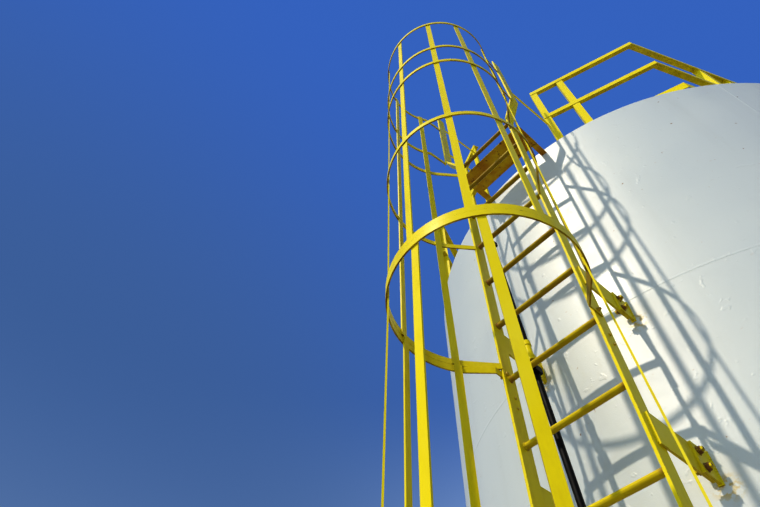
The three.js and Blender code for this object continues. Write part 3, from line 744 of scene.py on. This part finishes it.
def hatch_fittings(finishes):
    """Handle and hinge of the roof hatch, and the weld around its curb."""
    low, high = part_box("roof_hatch")
    centre = around(HATCH["azimuth"], HATCH["distance"], high.z)
    outward = around(HATCH["azimuth"], 1)
    across = Vector((-outward.y, outward.x, 0))
    rim_radius = (high.x - low.x) / 2
    bm = bmesh.new()
    handle(bm, centre + outward * HATCH["handle"], across * 0.075, UP * 0.055, 0.018)
    for side in (-1, 1):
        leaf = centre - outward * (rim_radius - 0.03) + across * side * HATCH["hinges"]
        turned(bm, leaf - across * 0.035 + UP * 0.012, across, [(0.011, 0), (0.011, 0.07)], 14)
        for share in (0.25, 0.75):
            spot = leaf + outward * 0.045 + across * (share - 0.5) * 0.05
            turned(bm, spot, UP, [(0.008, 0), (0.008, 0.003), (0.005, 0.006)], 12)
    add_piece("roof_hatch_fittings", bm, finishes["roof"])
    bm = bmesh.new()
    count = 360
    points, normals = [], []
    for i in range(count):
        angle = 2 * math.pi * i / count
        out = Vector((math.cos(angle), math.sin(angle), 0))
        spot = centre + out * (HATCH["radius"] + 0.002)
        spot.z = roof_height(math.hypot(spot.x, spot.y)) + 0.001
        points.append(spot)
        normals.append((out + UP).normalized())
    bead(bm, points, normals, *HATCH_FILLET, closed=True)
    add_piece("roof_hatch_weld", bm, finishes["roof"])


def handle(bm, middle, half, rise, corner, radius=0.006):
    """A bent round bar whose feet stand on a face at both ends of a line through its middle."""
    corners = [middle - half, middle - half + rise, middle + half + rise, middle + half]
    rod(bm, rounded(corners, corner, -rise.normalized() * 0.002), radius)


def rounded(corners, radius, sink):
    """The corners of an open line with its inner corners turned into short arcs and its ends sunk."""
    points = [corners[0] + sink]
    for before, corner, after in zip(corners, corners[1:], corners[2:]):
        a = corner + (before - corner).normalized() * radius
        b = corner + (after - corner).normalized() * radius
        for i in range(7):
            t = i / 6
            points.append(a.lerp(corner, t).lerp(corner.lerp(b, t), t))
    points.append(corners[-1] + sink)
    return points


def vent_fittings(finishes):
    """Collar at the foot of the vent and a wire screen in its mouth."""
    pipe = VENT_PIPE_RADIUS
    bm = bmesh.new()
    foot = UP * (roof_height(pipe) + 0.001)
    ring_bead(bm, foot, UP, pipe + 0.001, *COLLAR_FILLET, lean=FILLET_LEAN)
    mouth = Vector((VENT_MOUTH_X, 0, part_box("roof_vent")[1].z - pipe - VENT_MOUTH_DROP))
    lip = [(pipe + 0.004, 0), (pipe + 0.005, 0.004), (pipe + 0.005, 0.016), (pipe + 0.001, 0.018)]
    turned(bm, mouth, UP, lip, 40)
    add_piece("roof_vent_collar", bm, finishes["roof"])
    bm = bmesh.new()
    pitch = 0.012
    x, y = Vector((1, 0, 0)), Vector((0, 1, 0))
    for i in range(-4, 5):
        reach = math.sqrt(max(0.0, 0.050 ** 2 - (i * pitch) ** 2))
        if reach > 0.005:
            for along, aside in ((x, y), (y, x)):
                middle = mouth + aside * (i * pitch) + UP * 0.003
                rod(bm, [middle - along * reach, middle + along * reach], 0.0008, 6)
    add_piece("roof_vent_screen", bm, finishes["bolt"])


# Ports on the far side

def port_frame(port):
    """Directions outward and sideways at a port."""
    outward = around(port["azimuth"], 1)
    return outward, outward.cross(UP)


def bolt_circle(port):
    """The places of a port's bolts around its axis, at the tank's centre."""
    side = port_frame(port)[1]
    for i in range(port["bolts"]):
        angle = 2 * math.pi * (i + 0.5) / port["bolts"]
        ray = side * math.cos(angle) + UP * math.sin(angle)
        yield ray * port["bolt_circle"] + UP * port["height"]


def shell_port_bead(bm, port):
    """The fillet where a neck leaves the round wall."""
    outward, side = port_frame(port)
    count = 2 * round(math.pi * port["neck"] / 0.005)
    points, normals = [], []
    for i in range(count):
        angle = 2 * math.pi * i / count
        ray = side * math.cos(angle) + UP * math.sin(angle)
        offset = ray * (port["neck"] + 0.002)
        flat = offset - UP * offset.dot(UP)
        depth = math.sqrt(TANK_RADIUS ** 2 - flat.length_squared)
        points.append(outward * depth + offset + UP * port["height"])
        normals.append((ray + outward).normalized())
    bead(bm, points, normals, *NECK_FILLET, closed=True)


def manway_fittings(finishes):
    outward, side = port_frame(MANWAY)
    back, cover = MANWAY["face"] - MANWAY_FLANGE, MANWAY["face"] + MANWAY_COVER
    bm = bmesh.new()
    shell_port_bead(bm, MANWAY)
    collar = outward * (back - 0.0002) + UP * MANWAY["height"]
    ring_bead(bm, collar, -outward, MANWAY["neck"] + 0.001, *MANWAY_FILLET, lean=FILLET_LEAN)
    add_piece("manway_weld", bm, finishes["shell"])
    bm = bmesh.new()
    for spot in bolt_circle(MANWAY):
        fastener(bm, spot + outward * back, spot + outward * cover, *MANWAY_BOLT)
    add_piece("manway_bolts", bm, finishes["bolt"])
    bm = bmesh.new()
    for direction in (-1, 1):
        grip = outward * cover + UP * MANWAY["height"] + side * direction * MANWAY["handles"]
        handle(bm, grip, UP * 0.07, outward * 0.045, 0.016)
    add_piece("manway_handles", bm, finishes["shell"])


def outlet_fittings(finishes):
    outward = around(OUTLET["azimuth"], 1)
    bm = bmesh.new()
    shell_port_bead(bm, OUTLET)
    add_piece("outlet_weld", bm, finishes["shell"])
    bm = bmesh.new()
    for spot in bolt_circle(OUTLET):
        bolt_end(bm, spot + outward * (OUTLET["face"] - OUTLET_FLANGE), -outward, *OUTLET_BOLT)
        hexagon(bm, spot + outward * (OUTLET["face"] + OUTLET_COVER), outward, *OUTLET_NUT)
    add_piece("outlet_bolts", bm, finishes["bolt"])


# Ladder details

def ladder_welds(finishes):
    bm = bmesh.new()
    for number in range(1, RUNG_COUNT + 1):
        for side in (-1, 1):
            centre = beside_ladder(side, STILE_INNER - 0.002, LADDER_Y, number * RUNG_PITCH)
            ring_bead(bm, centre, Vector((side, 0, 0)), RUNG_RADIUS, *RUNG_FILLET)
    add_piece("ladder_rung_welds", bm, finishes["ladder"])


def ladder_splice(finishes):
    """Small painted bolts through the stiles on both sides of the joint of the two ladder lengths."""
    bm = bmesh.new()
    for side in (-1, 1):
        for rise in SPLICE_BOLT_RISES:
            near, far = (beside_ladder(side, reach, SPLICE_BOLT_Y, LADDER_SPLICE + rise)
                         for reach in (STILE_INNER, STILE_OUTER))
            fastener(bm, near, far, *SPLICE_BOLT)
    add_piece("ladder_splice_bolts", bm, finishes["painted_bolt"])


def standoff_fittings(finishes):
    """Bolts through each bracket and its clip, and the fillets of clips and brackets."""
    bolts = bmesh.new()
    welds = bmesh.new()
    for height in BRACKET_HEIGHTS:
        for side in (-1, 1):
            for rise in CLIP_BOLT_RISES:
                near, far = (beside_ladder(side, reach, CLIP_BOLT_Y, height + rise)
                             for reach in (BRACKET_INNER, CLIP_OUTER))
                fastener(bolts, near, far, *CLIP_BOLT)
            for reach, lean in ((CLIP_OUTER, 1), (CLIP_OUTER - CLIP_THICKNESS, -1)):
                foot = on_wall(LADDER_X + side * reach, 0)
                normal = (foot.normalized() + Vector((side * lean, 0, 0))).normalized()
                half = CLIP_HALF_HEIGHT + 0.004
                start, end = foot + UP * (height - half), foot + UP * (height + half)
                straight_bead(welds, start, end, normal, *CLIP_FILLET)
            for y, lean in ((BRACKET_FRONT, -1), (STILE_BACK, 1)):
                spot = beside_ladder(side, BRACKET_INNER, y, height)
                half = UP * BRACKET_HALF_HEIGHT
                normal = Vector((side, lean, 0)).normalized()
                straight_bead(welds, spot - half, spot + half, normal, *BRACKET_FILLET)
    add_piece("standoff_bolts", bolts, finishes["bolt"])
    add_piece("standoff_welds", welds, finishes["worn_yellow"])


# Cage details

def strap_end(name, height):
    """Centre, outward normal and direction across a strap at its foot or head, from its four corners."""
    vertices = [v.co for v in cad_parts[name].data.vertices if abs(v.co.z - height) < 0.001]
    points = [Vector(corner) for corner in sorted({(round(v.x, 5), round(v.y, 5), 0) for v in vertices})]
    centre = sum(points, Vector()) / len(points)
    first = points[0]
    second = min(points[1:], key=lambda p: abs((p - first).length - BAR_WIDTH))
    along = (second - first).normalized()
    normal = Vector((along.y, -along.x, 0))
    if normal.dot(centre - CAGE_CENTRE) < 0:
        normal = -normal
    return centre, normal, Vector((-normal.y, normal.x, 0))


def cage_welds(finishes):
    """Short fillets that hold each strap to each hoop that it crosses, and the hoops to the stiles."""
    bm = bmesh.new()
    straps = [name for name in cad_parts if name.startswith("cage_strap_")]
    for strap in straps:
        low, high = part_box(strap)
        foot, head = strap_end(strap, low.z), strap_end(strap, high.z)
        for hoop in SIDE_HOOPS + FRONT_HOOPS + EXTENSION_HOOPS:
            bottom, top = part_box(hoop)[0].z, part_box(hoop)[1].z
            start, end = max(bottom, low.z) + 0.002, min(top, high.z) - 0.002
            if end - start < 0.012:
                continue
            for side in (-1, 1):
                ends = []
                for height in (start, end):
                    share = (height - low.z) / (high.z - low.z)
                    centre, normal, along = (a.lerp(b, share) for a, b in zip(foot, head))
                    edge = centre + along * side * (BAR_WIDTH / 2) + normal * (BAR_THICKNESS / 2)
                    ends.append(edge + UP * height)
                straight_bead(bm, ends[0], ends[1], (along * side - normal).normalized(), *STRAP_FILLET)
    for hoop in FRONT_HOOPS:
        bottom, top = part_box(hoop)[0].z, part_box(hoop)[1].z
        for side in (-1, 1):
            for reach, lean in ((STILE_OUTER - 0.002, 1), (STILE_OUTER - 0.008, -1)):
                start = beside_ladder(side, reach, STILE_FRONT, bottom + 0.002)
                end = beside_ladder(side, reach, STILE_FRONT, top - 0.002)
                normal = Vector((side * lean, -1, 0)).normalized()
                straight_bead(bm, start, end, normal, *HOOP_FILLET)
    add_piece("cage_welds", bm, finishes["cage"])


def hoop_seam(finishes):
    """The filled joint between the two hoops that stand one on the other."""
    bm = bmesh.new()
    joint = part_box(FRONT_HOOPS[0])[0].z
    bottom, top = joint - 0.0022, joint + 0.0002
    inner, outer = CAGE_RADIUS - BAR_THICKNESS + 0.0006, CAGE_RADIUS - 0.0001
    corners = [(inner, bottom), (outer, bottom), (outer, top), (inner, top)]
    azimuths = [HOOP_SWEEP * step / HOOP_SIDES for step in range(-22, 23)]
    rings = [[bm.verts.new(CAGE_CENTRE + around(azimuth, radius, height)) for radius, height in corners]
             for azimuth in azimuths]
    skin(bm, rings)
    add_piece("cage_hoop_seam", bm, finishes["cage"])


def hoop_bolts(finishes):
    """Bolts that hold the tails of the side-fixed hoops to the outer faces of the stiles."""
    bm = bmesh.new()
    for hoop in SIDE_HOOPS:
        height = (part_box(hoop)[0].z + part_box(hoop)[1].z) / 2
        for side in (-1, 1):
            near, far = (beside_ladder(side, reach, HOOP_BOLT_Y, height)
                         for reach in (STILE_INNER, HOOP_TAIL_OUTER))
            fastener(bm, near, far, *HOOP_BOLT)
    add_piece("cage_hoop_bolts", bm, finishes["painted_bolt"])


# Guardrail and landing details

def guard_side(corners, index):
    a, b = (around(*corners[k]) for k in (index, index + 1))
    along = (b - a).normalized()
    return a, b, along, Vector((-along.y, along.x, 0))


def guardrail_welds(finishes):
    """Fillets where posts meet rails and toe board, and around their feet."""
    bm = bmesh.new()
    for corners, posts in ((GUARD_CORNERS, GUARD_POSTS), (ENTRY_CORNERS, ENTRY_POSTS)):
        for index, shares in enumerate(posts):
            a, b, along, inward = guard_side(corners, index)
            for share in shares:
                foot = a.lerp(b, share) + inward * 0.004
                for top in RAIL_TOPS:
                    under = foot + UP * (top - 0.045)
                    straight_bead(bm, under + along * 0.002, under + along * (POST_LEG - 0.002),
                                  (-inward - UP).normalized(), *RAIL_FILLET)
                for reach, lean in ((0.0, -1), (POST_LEG, 1)):
                    edge = foot + along * reach + inward * 0.001
                    normal = (along * lean + inward).normalized()
                    start, end = edge + UP * (RIM + 0.030), edge + UP * (RIM + 0.100)
                    straight_bead(bm, start, end, normal, *RAIL_FILLET)
    add_piece("guardrail_welds", bm, finishes["yellow"])


def landing_welds(finishes):
    """Runs of weld under the landing's two arms where they meet the wall."""
    bm = bmesh.new()
    for side in (-1, 1):
        near, far = (LADDER_X + side * (LANDING_HALF_WIDTH - inset) for inset in (LANDING_ARM, 0.0))
        points = [on_wall(near + (far - near) * i / 10, LANDING_UNDER) for i in range(11)]
        normals = [(Vector((p.x, p.y, 0)).normalized() - UP).normalized() for p in points]
        bead(bm, points, normals, *LANDING_FILLET)
    add_piece("landing_weld", bm, finishes["landing"])


# Conduit details

def conduit_line(height):
    """Centre of the conduit at a height: upright to the bend, then leaning left."""
    share = max(0.0, (height - CONDUIT_BEND) / (CONDUIT_ENDS[1] - CONDUIT_BEND))
    x = LADDER_X + CONDUIT_BOTTOM_X + (CONDUIT_TOP_X - CONDUIT_BOTTOM_X) * share
    return Vector((x, LADDER_Y + CONDUIT_BEHIND, height))


def conduit_fittings(finishes):
    """A painted coupling over the conduit, and glands at both ends."""
    axis = (conduit_line(CONDUIT_ENDS[1]) - conduit_line(CONDUIT_BEND)).normalized()
    r = CONDUIT_RADIUS
    coupling = [(r + 0.001, 0), (r + 0.006, 0.002), (r + 0.006, 0.026), (r + 0.003, 0.028),
                (r + 0.003, 0.082), (r + 0.006, 0.084), (r + 0.006, 0.108), (r + 0.001, 0.110)]
    gland = [(r + 0.0005, 0), (r + 0.006, 0.003), (r + 0.006, 0.024), (r + 0.0035, 0.026),
             (r + 0.0035, 0.044), (r - 0.003, 0.0452)]
    bm = bmesh.new()
    turned(bm, conduit_line(COUPLING_FOOT), axis, coupling, 24)
    add_piece("conduit_coupling", bm, finishes["worn_yellow"])
    bm = bmesh.new()
    for height, along in ((CONDUIT_ENDS[1] - 0.002, axis), (CONDUIT_ENDS[0] - 0.0002, -UP)):
        turned(bm, conduit_line(height) - along * 0.045, along, gland, 24)
    add_piece("conduit_glands", bm, finishes["tube"])


make_camera()
make_light()
make_floor()
finishes = make_finishes()
dress_nodes(finishes)
shell_welds(finishes)
roof_welds(finishes)
hatch_fittings(finishes)
vent_fittings(finishes)
manway_fittings(finishes)
outlet_fittings(finishes)
ladder_welds(finishes)
ladder_splice(finishes)
standoff_fittings(finishes)
cage_welds(finishes)
hoop_seam(finishes)
hoop_bolts(finishes)
guardrail_welds(finishes)
landing_welds(finishes)
conduit_fittings(finishes)
